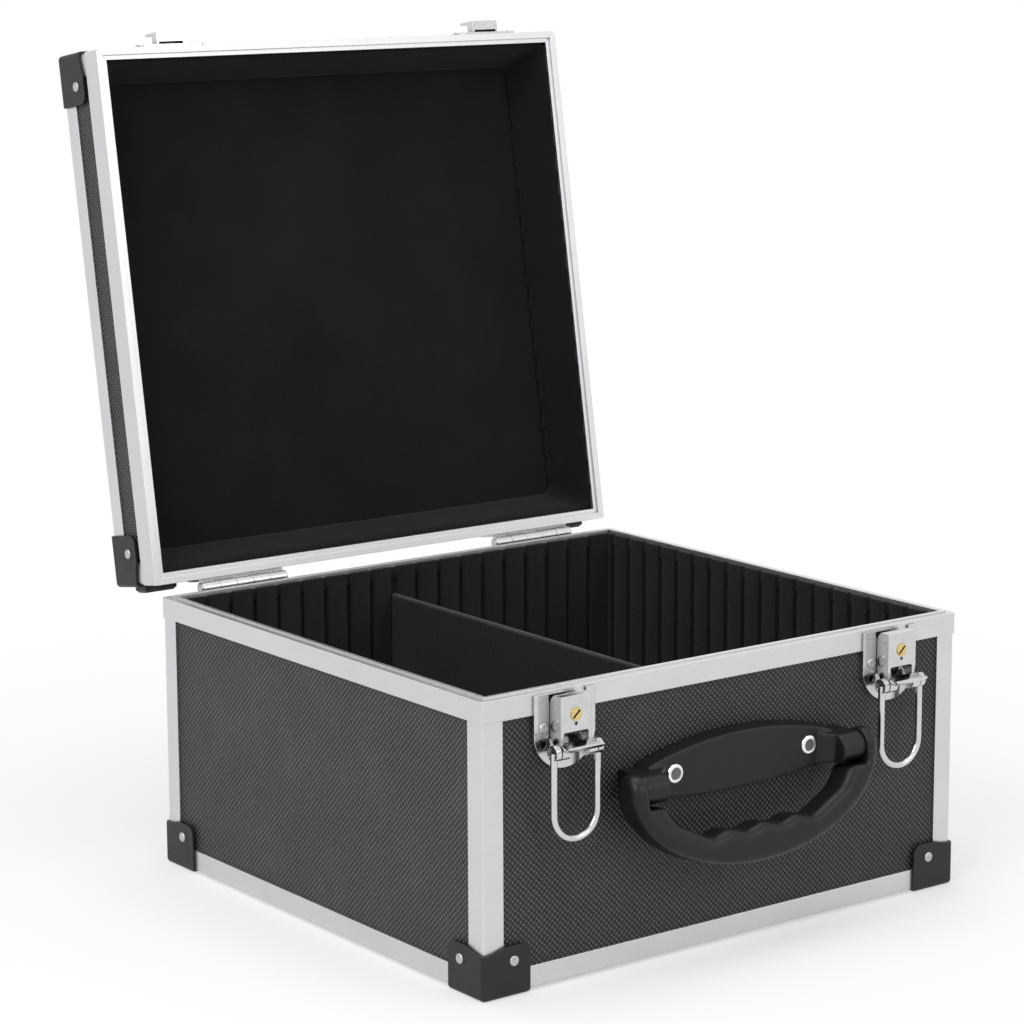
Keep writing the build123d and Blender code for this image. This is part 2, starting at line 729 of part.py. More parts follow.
def key_plug(centre):
    """The lock's plug: a slotted head in the lever's face on a slimmer body."""
    inner = lever_front - lever_wall
    front = lever_front + plug_head_proud
    head = disc(0, (-front, -inner), -plug_drop, plug_head_radius)
    body = disc(0, (-inner, plug_length - plug_head_proud - inner), -plug_drop, plug_body_radius)
    slot = Box(key_slot_width, 2 * key_slot_depth, key_slot_length)
    slot = Pos(0, -front, -plug_drop) * Rot(0, key_slot_angle, 0) * slot
    return on_front(centre, head + body - slot)


def lock_cam(centre):
    """The cam on the plug's inner end; a quarter turn puts it behind a lug."""
    inner, outer = cam_plane()
    arm = block((-cam_width / 2, cam_width / 2), (-outer, -inner), (-plug_drop, -plug_drop + cam_length))
    return on_front(centre, arm + disc(0, (-outer, -inner), -plug_drop, plug_body_radius))


def bail(centre):
    """A round-wire bail: a long U whose ends turn inward through the lever's barrels."""
    x = bail_leg_spacing / 2
    bend = -barrel_drop - bail_length + x
    y = -barrel_out
    path = [Line((-x, y, -barrel_drop), (-x, y, bend)),
            ThreePointArc((-x, y, bend), (0, y, bend - x), (x, y, bend)),
            Line((x, y, bend), (x, y, -barrel_drop))]
    section = Plane(origin=(-x, y, -barrel_drop), z_dir=(0, 0, -1)) * Circle(bail_wire_radius)
    wire = sweep(section, path=Wire(path))
    pin = rod((barrel_gap_half + moving_gap, x), y, -barrel_drop, bail_wire_radius)
    eye_start = barrel_width / 2 + 2 * moving_gap
    eye_end = eye_start + bail_eye_width
    eye = rod((eye_start, eye_end), y, -barrel_drop, bail_eye_radius)
    eye = eye - rod((eye_end - bail_eye_recess, eye_end), y, -barrel_drop, bail_eye_radius - bail_eye_recess)
    return on_front(centre, wire + both(pin + eye))


def strike(centre):
    """A strike on the lid's rim: a plate and a box with a lip that the bail pulls against."""
    plate = block((-strike_plate_width / 2, strike_plate_width / 2), (-latch_sheet, 0),
                  (strike_plate_bottom, strike_plate_top))
    plate = fillet(plate.edges().filter_by(Axis.Y), strike_corner_radius)
    half = strike_box_width / 2
    shell = block((-half, half), (-strike_box_proud, 0), (strike_box_bottom, strike_box_top))
    hollow = block((-half + latch_sheet, half - latch_sheet),
                   (-strike_box_proud + latch_sheet, 0),
                   (strike_box_bottom + latch_sheet, strike_box_top - latch_sheet))
    window = block((-half + latch_sheet, half - latch_sheet), (-latch_sheet - strike_window, -latch_sheet),
                   (strike_box_bottom - latch_sheet, strike_box_bottom + latch_sheet))
    lip = block((-half, half), (-strike_box_proud, -strike_box_proud + latch_sheet),
                (strike_box_bottom, strike_lip_top))
    top_edges = lip.edges().filter_by(Axis.Y).sort_by(Axis.Z)[-2:]
    lip = fillet(top_edges, strike_corner_radius)
    whole = plate + (shell - hollow - window) + lip
    return opened(drilled(on_front(centre, whole), lid_holes, (0, -1, 0)))


# Handle. Local frame: X along the pivot axis, -Y out from the front, origin on the axis.
def on_handle_axis(part):
    return Pos(0, -half_depth - handle_axis_out, body_height - handle_axis_drop) * part


def handle_bracket():
    """A lens-shaped dish on the panel with a neck at each end."""
    back = handle_axis_out + panel_face
    face = handle_axis_out - bracket_proud
    end = bracket_half_length
    outline = [ThreePointArc((-end, back, bracket_end_top), (0, back, bracket_middle_top),
                             (end, back, bracket_end_top)),
               Line((end, back, bracket_end_top), (end, back, -bracket_end_bottom)),
               ThreePointArc((end, back, -bracket_end_bottom), (0, back, -bracket_middle_bottom),
                             (-end, back, -bracket_end_bottom)),
               Line((-end, back, -bracket_end_bottom), (-end, back, bracket_end_top))]
    profile = make_face(outline)
    dish = extrude(profile, amount=back - face, dir=(0, -1, 0), taper=bracket_taper_angle)
    neck = block((neck_start, neck_end), (0, back), (-neck_radius, neck_radius))
    neck = neck + rod((neck_start, neck_end), 0, 0, neck_radius)
    slope = Polyline((neck_start - neck_ramp, face, -neck_radius), (neck_start, 0, -neck_radius),
                     (neck_start, face, -neck_radius), close=True)
    ramp = extrude(make_face(slope), amount=2 * neck_radius, dir=(0, 0, 1))
    bore = rod((handle_pin_start, neck_end), 0, 0, handle_pin_radius)
    bracket = dish + both(neck + ramp) - both(bore)
    return drilled(on_handle_axis(bracket), body_holes, (0, -1, 0))


def handle_pins():
    """Two steel pins from the bracket's necks into the grip."""
    pin = rod((handle_pin_start, handle_pin_end), 0, 0, handle_pin_radius)
    return [on_handle_axis(pin), on_handle_axis(mirror(pin, Plane.YZ))]


def finger_contour():
    """The inside edge of the grip: four shallow finger dips between low ridges."""
    points = []
    for number in range(3, -4, -1):
        rise = 0 if number % 2 else finger_ridge_rise
        points.append((number * finger_pitch / 2, rise - finger_dip_drop))
    bend = (points[0][0] + finger_bend_run, finger_bend_rise - finger_dip_drop)
    top_half = bend[0] + finger_flare
    return [(top_half, 0), bend] + points + [(-bend[0], bend[1]), (-top_half, 0)]


def grip_radius(inner):
    """The rounding, limited by the wall below the outer dips and at the opening's sides."""
    dip_x, dip_z = inner[2]
    below = grip_bottom_drop * (1 - (dip_x / grip_half_length) ** 2) ** 0.5 + dip_z
    beside = grip_half_length - inner[0][0]
    return min(grip_rounding, grip_rounding_share * below, grip_rounding_share * beside)


def grip_bar():
    """The grip's arch: half an ellipse less the finger opening, rounded front and back."""
    inner = finger_contour()
    radius = grip_radius(inner)
    opening = make_face([FilletPolyline(*inner, radius=finger_rounding), Line(inner[-1], inner[0])])
    above = Pos(0, grip_bottom_drop / 2) * Rectangle(2 * grip_half_length, grip_bottom_drop)
    profile = Ellipse(grip_half_length, grip_bottom_drop) - above - opening
    bar = Pos(0, grip_depth / 2, 0) * Rot(90, 0, 0) * extrude(profile, amount=grip_depth)
    rims = bar.faces().sort_by(Axis.Y)
    edges = [edge for edge in rims[0].edges() + rims[-1].edges() if edge.center().Z < -radius]
    return fillet(edges, radius)


def handle_grip():
    """A moulded grip with a knob over each pin, hanging tilted a little away from the case."""
    knob = rod((knob_start, grip_half_length), 0, 0, knob_radius)
    knob = fillet(knob.faces().sort_by(Axis.X)[-1].edges(), knob_rounding)
    neck_room = block((-knob_start, knob_start), (-grip_depth, grip_depth), (-grip_shoulder_drop, neck_radius))
    pin_hole = rod((0, handle_pin_end + moving_gap), 0, 0, handle_pin_radius + running_clearance)
    grip = grip_bar() - neck_room + both(knob) - both(pin_hole)
    return on_handle_axis(grip.rotate(Axis.X, -grip_tilt))


def build_body():
    """Every fixed piece of the body, by node name."""
    nodes = {"bottom_panel": flat_panel(base_level + profile_wall)}
    for side, wall in wall_panels((floor_level, wall_top), body_holes).items():
        nodes[side + "_panel"] = wall
    nodes["body_corner_posts"] = corner_posts((base_level, body_height - body_rim_height))
    nodes["body_base_edges"] = edge_profiles(base_level, 1)
    nodes["body_corner_caps"] = corner_caps(0, 1, body_holes)
    nodes["body_cap_rivets"] = rivets(body_cap_spots, small_rivet)
    nodes["body_rivets"] = rivets(body_small_spots, small_rivet)
    for side in sides:
        nodes["body_rim_" + side] = body_rim(side)
        nodes["lining_" + side] = wall_lining(side)
    nodes["lining_floor"] = floor_lining()
    nodes["divider"] = divider()
    for hand, centre in hinge_centres.items():
        nodes["hinge_body_leaf_" + hand] = body_leaf(centre)
        nodes["hinge_pin_" + hand] = hinge_pin(centre)
    return nodes


def build_lid():
    """Every piece of the lid, opened, by node name."""
    nodes = {"lid_top_panel": opened(flat_panel(lid_roof))}
    for side, wall in wall_panels((lid_wall_bottom, lid_roof), lid_holes).items():
        nodes["lid_" + side + "_panel"] = opened(wall)
    groups = {"lid_corner_posts": corner_posts((lid_plane + lid_rim_height, lid_top)),
              "lid_top_edges": edge_profiles(lid_top, -1),
              "lid_corner_caps": corner_caps(lid_top + cap_wall, -1, lid_holes),
              "lid_cap_rivets": rivets(lid_cap_spots, small_rivet),
              "lid_rivets": rivets(lid_small_spots, small_rivet),
              "lid_side_lining": lid_side_lining()}
    for name, pieces in groups.items():
        nodes[name] = [opened(piece) for piece in pieces]
    for side in sides:
        nodes["lid_rim_" + side] = opened(lid_rim(side))
    nodes["lid_lining_pad"] = opened(lid_pad())
    for hand, centre in hinge_centres.items():
        nodes["hinge_lid_leaf_" + hand] = lid_leaf(centre)
    return nodes


def build_latches():
    """Both draw latches and their strikes, by node name."""
    makers = {"latch_base_": latch_base, "latch_pivot_pin_": latch_pin, "latch_lever_": latch_lever,
              "latch_key_plug_": key_plug, "latch_lock_cam_": lock_cam, "latch_bail_": bail,
              "latch_strike_": strike}
    return {name + hand: make(centre)
            for name, make in makers.items() for hand, centre in latch_centres.items()}


def build_handle():
    """The handle's pieces, by node name."""
    return {"handle_bracket": handle_bracket(), "handle_rivets": rivets(bracket_spots(), large_rivet),
            "handle_pins": handle_pins(), "handle_grip": handle_grip()}


def middle_of_depth(nodes):
    """Halfway between the frontmost and rearmost points of the open case."""
    pieces = [piece for node in nodes.values() for piece in (node if isinstance(node, list) else [node])]
    boxes = [piece.bounding_box() for piece in pieces]
    return (min(box.min.Y for box in boxes) + max(box.max.Y for box in boxes)) / 2


def write_parts(nodes):
    os.makedirs("parts", exist_ok=True)
    shift = Pos(0, -middle_of_depth(nodes), 0)
    print("base centre is at Y =", round(shift.position.Y, 4))
    for name, node in nodes.items():
        pieces = node if isinstance(node, list) else [node]
        moved = [shift * piece for piece in pieces]
        export_step(Compound(children=moved) if len(moved) > 1 else moved[0], "parts/" + name + ".step")


write_parts(build_body() | build_lid() | build_latches() | build_handle())
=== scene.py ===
import json
from math import pi, radians

import bpy
from mathutils import Matrix, Vector, noise


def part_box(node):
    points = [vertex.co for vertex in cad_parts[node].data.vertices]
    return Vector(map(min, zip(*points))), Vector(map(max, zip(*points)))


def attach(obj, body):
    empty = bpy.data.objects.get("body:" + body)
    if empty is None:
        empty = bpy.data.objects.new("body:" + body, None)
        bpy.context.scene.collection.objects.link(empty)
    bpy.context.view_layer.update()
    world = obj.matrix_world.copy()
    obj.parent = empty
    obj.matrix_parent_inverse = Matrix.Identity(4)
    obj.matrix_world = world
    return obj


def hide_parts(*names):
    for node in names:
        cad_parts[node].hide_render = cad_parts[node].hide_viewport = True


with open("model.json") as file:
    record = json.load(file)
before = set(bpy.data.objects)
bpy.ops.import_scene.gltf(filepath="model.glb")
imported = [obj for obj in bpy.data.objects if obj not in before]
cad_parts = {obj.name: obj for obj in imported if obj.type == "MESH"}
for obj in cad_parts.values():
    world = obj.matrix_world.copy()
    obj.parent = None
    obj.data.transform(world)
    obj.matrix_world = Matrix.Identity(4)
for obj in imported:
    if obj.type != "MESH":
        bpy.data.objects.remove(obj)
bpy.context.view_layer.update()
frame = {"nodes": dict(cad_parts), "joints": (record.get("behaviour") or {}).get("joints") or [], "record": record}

print("frame loaded,", len(frame["nodes"]), "nodes")

# How far the lid stands open, and the middle of the case's base from front to back
lidJoint = next(joint for joint in frame["joints"] if joint["name"] == "lid_hinge")
lidAngle = radians(lidJoint["range_deg"][1])
baseLow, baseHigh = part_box("bottom_panel")
baseY = (baseLow.y + baseHigh.y) / 2


# Small helpers

def clearSelection():
    if bpy.context.object and bpy.context.object.mode != "OBJECT":
        bpy.ops.object.mode_set(mode="OBJECT")
    bpy.ops.object.select_all(action="DESELECT")


def pickOnly(obj):
    clearSelection()
    obj.select_set(True)
    bpy.context.view_layer.objects.active = obj


def applyModifier(obj, kind, **settings):
    pickOnly(obj)
    modifier = obj.modifiers.new(kind.title(), kind)
    for key, value in settings.items():
        setattr(modifier, key, value)
    bpy.ops.object.modifier_apply(modifier=modifier.name)


def addBox(low, high, name):
    # a cube primitive with its size and place already in the mesh
    clearSelection()
    middle = (Vector(low) + Vector(high)) / 2
    size = Vector(high) - Vector(low)
    bpy.ops.mesh.primitive_cube_add(size=1, location=middle)
    box = bpy.context.object
    box.name = name
    box.scale = size
    bpy.ops.object.transform_apply(location=True, rotation=True, scale=True)
    return box


def copyAlong(obj, offset):
    # a copy with a mesh of its own, moved in the mesh
    twin = obj.copy()
    twin.data = obj.data.copy()
    twin.data.transform(Matrix.Translation(offset))
    bpy.context.scene.collection.objects.link(twin)
    return twin


def joinAll(objects, name):
    clearSelection()
    for obj in objects:
        obj.select_set(True)
    bpy.context.view_layer.objects.active = objects[0]
    if len(objects) > 1:
        bpy.ops.object.join()
    joined = bpy.context.object
    joined.name = name
    return joined


mergeDistance = 0.00001


def copyOfNode(node, name):
    # a CAD mesh is loose triangles, so the copy is merged before it is worked on
    clearSelection()
    source = frame["nodes"][node]
    piece = bpy.data.objects.new(name, source.data.copy())
    bpy.context.scene.collection.objects.link(piece)
    piece.data.materials.clear()
    if piece.data.has_custom_normals:
        pickOnly(piece)
        bpy.ops.mesh.customdata_custom_splitnormals_clear()
    pickOnly(piece)
    bpy.ops.object.mode_set(mode="EDIT")
    bpy.ops.mesh.select_all(action="SELECT")
    bpy.ops.mesh.remove_doubles(threshold=mergeDistance)
    bpy.ops.mesh.normals_make_consistent(inside=False)
    bpy.ops.object.mode_set(mode="OBJECT")
    return piece


def finishPiece(piece, material, body, replaced, smoothAngle):
    # edges flatter than smoothAngle, in degrees, are shaded round
    pickOnly(piece)
    piece.data.materials.clear()
    piece.data.materials.append(material)
    bpy.ops.object.shade_smooth_by_angle(angle=radians(smoothAngle))
    clearSelection()
    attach(piece, body)
    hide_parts(*replaced)


# Node helpers

def putNode(tree, kind, **settings):
    node = tree.nodes.new(kind)
    for key, value in settings.items():
        setattr(node, key, value)
    return node


def feed(tree, node, **inputs):
    # a link where the value is a socket, a plain setting where it is a number or colour
    # n0 is the first input by number, Base_Color is the one called Base Color
    for key, value in inputs.items():
        numbered = key[0] == "n" and key[1:].isdigit()
        socket = node.inputs[int(key[1:]) if numbered else key.replace("_", " ")]
        if isinstance(value, bpy.types.NodeSocket):
            tree.links.new(value, socket)
        else:
            socket.default_value = value
    return node


def newGroup(name, inputs, outputs):
    group = bpy.data.node_groups.new(name, "ShaderNodeTree")
    for label, kind, value in inputs:
        socket = group.interface.new_socket(name=label, in_out="INPUT", socket_type=kind)
        socket.default_value = value
    for label, kind in outputs:
        group.interface.new_socket(name=label, in_out="OUTPUT", socket_type=kind)
    return group, putNode(group, "NodeGroupInput"), putNode(group, "NodeGroupOutput")


def placeGroup(tree, group, **inputs):
    node = putNode(tree, "ShaderNodeGroup", node_tree=group)
    return feed(tree, node, **inputs)


def makeSoftEdges():
    # rounds sharp sheet and moulding edges, and finds them for a painted highlight along the edges
    group, taken, given = newGroup("softEdges", [("Radius", "NodeSocketFloat", 0.0004),
                                                 ("Sharpness", "NodeSocketFloat", 6.0)],
                                   [("Edge", "NodeSocketFloat"), ("Normal", "NodeSocketVector")])
    bevel = feed(group, putNode(group, "ShaderNodeBevel", samples=4), Radius=taken.outputs["Radius"])
    flat = putNode(group, "ShaderNodeNewGeometry")
    dot = feed(group, putNode(group, "ShaderNodeVectorMath", operation="DOT_PRODUCT"),
               n0=bevel.outputs["Normal"], n1=flat.outputs["Normal"])
    away = feed(group, putNode(group, "ShaderNodeMath", operation="SUBTRACT"), n0=1.0,
                n1=dot.outputs["Value"])
    mask = feed(group, putNode(group, "ShaderNodeMath", operation="MULTIPLY", use_clamp=True),
                n0=away.outputs[0], n1=taken.outputs["Sharpness"])
    feed(group, given, Edge=mask.outputs[0], Normal=bevel.outputs["Normal"])
    return group


mottleFacts = {"slowDetail": 3.0, "slowRough": 0.55, "fineDetail": 2.0, "fineRough": 0.6, "fineShare": 0.4,
               "lowest": 0.3, "highest": 0.7}


def makeMottle():
    # slow and fine tone changes over a surface, from low to high
    group, taken, given = newGroup("mottle", [("Scale", "NodeSocketFloat", 60.0),
                                              ("Fine Scale", "NodeSocketFloat", 900.0),
                                              ("Low", "NodeSocketFloat", 0.3),
                                              ("High", "NodeSocketFloat", 0.5)],
                                   [("Value", "NodeSocketFloat")])
    place = putNode(group, "ShaderNodeTexCoord")
    slow = feed(group, putNode(group, "ShaderNodeTexNoise"), Vector=place.outputs["Object"],
                Scale=taken.outputs["Scale"], Detail=mottleFacts["slowDetail"],
                Roughness=mottleFacts["slowRough"])
    fine = feed(group, putNode(group, "ShaderNodeTexNoise"), Vector=place.outputs["Object"],
                Scale=taken.outputs["Fine Scale"], Detail=mottleFacts["fineDetail"],
                Roughness=mottleFacts["fineRough"])
    mixed = feed(group, putNode(group, "ShaderNodeMix", data_type="FLOAT"), n0=mottleFacts["fineShare"],
                 n2=slow.outputs["Fac"], n3=fine.outputs["Fac"])
    spread = feed(group, putNode(group, "ShaderNodeMapRange"), Value=mixed.outputs[0],
                  From_Min=mottleFacts["lowest"], From_Max=mottleFacts["highest"],
                  To_Min=taken.outputs["Low"], To_Max=taken.outputs["High"])
    feed(group, given, Value=spread.outputs["Result"])
    return group


grainFacts = {"detail": 3.0, "rough": 0.65}


def makeGrain():
    # a fine skin: moulding grain, tumbling marks or drawn metal, as a normal
    group, taken, given = newGroup("skinGrain", [("Scale", "NodeSocketFloat", 1500.0),
                                                 ("Depth", "NodeSocketFloat", 0.00002),
                                                 ("Normal", "NodeSocketVector", (0, 0, 0))],
                                   [("Normal", "NodeSocketVector")])
    place = putNode(group, "ShaderNodeTexCoord")
    grain = feed(group, putNode(group, "ShaderNodeTexNoise"), Vector=place.outputs["Object"],
                 Scale=taken.outputs["Scale"], Detail=grainFacts["detail"], Roughness=grainFacts["rough"])
    bump = feed(group, putNode(group, "ShaderNodeBump"), Strength=1.0, Distance=taken.outputs["Depth"],
                Height=grain.outputs["Fac"], Normal=taken.outputs["Normal"])
    feed(group, given, Normal=bump.outputs["Normal"])
    return group


paintedShadeFacts = {"shutIn": 0.1, "open": 0.75, "darkest": 0.02}


def makePaintedCreviceShade():
    # painted shade: darkens a tone where the surface is closed in, as inside a lever or a knuckle, where shade
    # falls
    group, taken, given = newGroup("paintedCreviceShade", [("Color", "NodeSocketColor", (1, 1, 1, 1)),
                                                ("Reach", "NodeSocketFloat", 0.004)],
                                   [("Color", "NodeSocketColor")])
    shade = feed(group, putNode(group, "ShaderNodeAmbientOcclusion", samples=8),
                 Distance=taken.outputs["Reach"])
    level = feed(group, putNode(group, "ShaderNodeMapRange", interpolation_type="SMOOTHSTEP"),
                 Value=shade.outputs["AO"], From_Min=paintedShadeFacts["shutIn"], From_Max=paintedShadeFacts["open"],
                 To_Min=paintedShadeFacts["darkest"], To_Max=1.0)
    mixed = feed(group, putNode(group, "ShaderNodeMix", data_type="RGBA", blend_type="MULTIPLY"), n0=1.0,
                 n6=taken.outputs["Color"], n7=level.outputs["Result"])
    feed(group, given, Color=mixed.outputs[2])
    return group


softEdges = makeSoftEdges()
paintedCreviceShade = makePaintedCreviceShade()
mottle = makeMottle()
skinGrain = makeGrain()


def newMaterial(name):
    material = bpy.data.materials.new(name)
    material.use_nodes = True
    tree = material.node_tree
    return material, tree, tree.nodes["Principled BSDF"]


# Plain finishes: tones are the darker and lighter parts of one finish, edgeTone the painted highlight on its
# edges, rough the range of its polish, scale and fineScale how dense its patches are, grain how dense its skin is
# and depth how deep, edge how round its edges are, the shade reach how wide a gap gets painted shade; depth, edge
# and shade reach are in metres
finishLooks = {
    "satinAluminium": {
        "tones": [(0.60, 0.605, 0.615), (0.66, 0.665, 0.675)], "edgeTone": (0.85, 0.855, 0.86),
        "rough": (0.36, 0.42), "metallic": 1.0, "scale": 22.0, "fineScale": 700.0, "grain": 2600.0,
        "depth": 0.000003, "edge": 0.0005, "paintedShadeReach": 0.0025, "shine": 0.5
    },
    "capPlastic": {
        "tones": [(0.011, 0.0115, 0.0125), (0.018, 0.0185, 0.0205)], "edgeTone": (0.05, 0.052, 0.056),
        "rough": (0.38, 0.52), "metallic": 0.0, "scale": 70.0, "fineScale": 1100.0, "grain": 1900.0,
        "depth": 0.00003, "edge": 0.0006, "paintedShadeReach": 0.002, "shine": 0.3
    },
    "tumbledRivet": {
        "tones": [(0.36, 0.36, 0.35), (0.62, 0.62, 0.60)], "edgeTone": (0.7, 0.7, 0.69),
        "rough": (0.26, 0.5), "metallic": 1.0, "scale": 480.0, "fineScale": 1700.0, "grain": 1500.0,
        "depth": 0.00008, "edge": 0.0003, "paintedShadeReach": 0.0015, "shine": 0.5
    },
    "latchChrome": {
        "tones": [(0.56, 0.565, 0.57), (0.66, 0.66, 0.66)], "edgeTone": (0.86, 0.86, 0.86),
        "rough": (0.1, 0.22), "metallic": 1.0, "scale": 160.0, "fineScale": 900.0, "grain": 420.0,
        "depth": 0.00002, "edge": 0.0003, "paintedShadeReach": 0.011, "shine": 0.5
    },
    "hingeNickel": {
        "tones": [(0.60, 0.60, 0.595), (0.68, 0.68, 0.675)], "edgeTone": (0.84, 0.84, 0.83),
        "rough": (0.2, 0.32), "metallic": 1.0, "scale": 60.0, "fineScale": 900.0, "grain": 1900.0,
        "depth": 0.000004, "edge": 0.0003, "paintedShadeReach": 0.004, "shine": 0.5
    },
    "drawnSteel": {
        "tones": [(0.42, 0.42, 0.43), (0.56, 0.56, 0.57)], "edgeTone": (0.7, 0.7, 0.7),
        "rough": (0.25, 0.4), "metallic": 1.0, "scale": 200.0, "fineScale": 1400.0, "grain": 1500.0,
        "depth": 0.00001, "edge": 0.0002, "paintedShadeReach": 0.003, "shine": 0.5
    },
    "lockBrass": {
        "tones": [(0.62, 0.45, 0.15), (0.78, 0.60, 0.25)], "edgeTone": (0.95, 0.85, 0.55),
        "rough": (0.2, 0.36), "metallic": 1.0, "scale": 380.0, "fineScale": 1600.0, "grain": 1300.0,
        "depth": 0.00001, "edge": 0.0002, "paintedShadeReach": 0.0022, "shine": 0.5
    },
    "gripPlastic": {
        "tones": [(0.005, 0.005, 0.0055), (0.009, 0.009, 0.0098)], "edgeTone": (0.03, 0.03, 0.032),
        "rough": (0.34, 0.46), "metallic": 0.0, "scale": 60.0, "fineScale": 1200.0, "grain": 2300.0,
        "depth": 0.00002, "edge": 0.0005, "paintedShadeReach": 0.004, "shine": 0.3
    },
}

polishFacts = {"scale": 1.7, "fineScale": 0.6}  # the polish changes in patches of its own, against the tone's


def makeFinish(name):
    look = finishLooks[name]
    material, tree, shader = newMaterial(name)
    edges = placeGroup(tree, softEdges, Radius=look["edge"])
    tone = placeGroup(tree, mottle, Scale=look["scale"], Fine_Scale=look["fineScale"], Low=0.0, High=1.0)
    rough = placeGroup(tree, mottle, Scale=look["scale"] * polishFacts["scale"],
                       Fine_Scale=look["fineScale"] * polishFacts["fineScale"],
                       Low=look["rough"][0], High=look["rough"][1])
    skin = placeGroup(tree, skinGrain, Scale=look["grain"], Depth=look["depth"],
                      Normal=edges.outputs["Normal"])
    base = feed(tree, putNode(tree, "ShaderNodeMix", data_type="RGBA"), n0=tone.outputs["Value"],
                n6=(*look["tones"][0], 1), n7=(*look["tones"][1], 1))
    # painted highlight: the rounded edges are painted lighter in edgeTone
    edgeHighlighted = feed(tree, putNode(tree, "ShaderNodeMix", data_type="RGBA"), n0=edges.outputs["Edge"],
                n6=base.outputs[2], n7=(*look["edgeTone"], 1))
    # painted shade: the tone is darkened in narrow gaps and crevices
    paintedShadeTone = placeGroup(tree, paintedCreviceShade, Color=edgeHighlighted.outputs[2], Reach=look["paintedShadeReach"])
    feed(tree, shader, Base_Color=paintedShadeTone.outputs["Color"], Roughness=rough.outputs["Value"],
         Normal=skin.outputs["Normal"], Metallic=look["metallic"], Specular_IOR_Level=look["shine"])
    return material


finishes = {name: makeFinish(name) for name in finishLooks}


# offset and level place the rivets' centres; the dull eye ends between inner and outer
eyeLook = {"offset": 0.044, "level": 0.0965, "inner": 0.0029, "outer": 0.0035, "eye": (0.17, 0.17, 0.168),
           "scale": 500.0, "fineScale": 1900.0, "shades": (0.6, 1.2), "rough": (0.45, 0.12),
           "grain": 1300.0, "depth": 0.00002}


def makeEyelet():
    # the handle's large rivets: a polished ring round a dull grey eye
    material, tree, shader = newMaterial("eyeletSteel")
    place = putNode(tree, "ShaderNodeTexCoord")
    at = putNode(tree, "ShaderNodeSeparateXYZ")
    tree.links.new(place.outputs["Object"], at.inputs[0])
    side = feed(tree, putNode(tree, "ShaderNodeMath", operation="ABSOLUTE"), n0=at.outputs["X"])
    side = feed(tree, putNode(tree, "ShaderNodeMath", operation="SUBTRACT"), n0=side.outputs[0],
                n1=eyeLook["offset"])
    rise = feed(tree, putNode(tree, "ShaderNodeMath", operation="SUBTRACT"), n0=at.outputs["Z"],
                n1=eyeLook["level"])
    flat = feed(tree, putNode(tree, "ShaderNodeCombineXYZ"), X=side.outputs[0], Y=rise.outputs[0])
    away = feed(tree, putNode(tree, "ShaderNodeVectorMath", operation="LENGTH"), n0=flat.outputs[0])
    mask = feed(tree, putNode(tree, "ShaderNodeMapRange", interpolation_type="SMOOTHSTEP"),
                Value=away.outputs["Value"], From_Min=eyeLook["inner"], From_Max=eyeLook["outer"])
    tone = placeGroup(tree, mottle, Scale=eyeLook["scale"], Fine_Scale=eyeLook["fineScale"],
                      Low=eyeLook["shades"][0], High=eyeLook["shades"][1])
    dull = feed(tree, putNode(tree, "ShaderNodeMix", data_type="RGBA", blend_type="MULTIPLY"), n0=1.0,
                n6=(*eyeLook["eye"], 1), n7=tone.outputs["Value"])
    base = feed(tree, putNode(tree, "ShaderNodeMix", data_type="RGBA"), n0=mask.outputs["Result"],
                n6=dull.outputs[2], n7=(*finishLooks["latchChrome"]["edgeTone"], 1))
    rough = feed(tree, putNode(tree, "ShaderNodeMapRange"), Value=mask.outputs["Result"],
                 To_Min=eyeLook["rough"][0], To_Max=eyeLook["rough"][1])
    skin = placeGroup(tree, skinGrain, Scale=eyeLook["grain"], Depth=eyeLook["depth"])
    feed(tree, shader, Base_Color=base.outputs[2], Roughness=rough.outputs["Result"],
         Normal=skin.outputs["Normal"], Metallic=1.0)
    return material


finishes["eyeletSteel"] = makeEyelet()


# pitch is the distance between two rows of dots, wobble how far a row strays, in radians of its wave; low is the
# tone in the gaps, painted shade, and high the painted highlight on the dot tops
laminateLook = {"pitch": 0.0032, "depth": 0.0003, "low": (0.014, 0.0145, 0.0152),
                "high": (0.105, 0.108, 0.112), "rough": (0.36, 0.5), "shine": 0.25, "edge": 0.0003,
                "wobbleScale": 260.0, "wobble": 0.9, "dotFoot": -0.15, "dotTop": 0.85,
                "toneScale": 26.0, "toneFine": 700.0, "tone": 0.12, "roughScale": 40.0, "roughFine": 1100.0,
                "facing": 0.5}


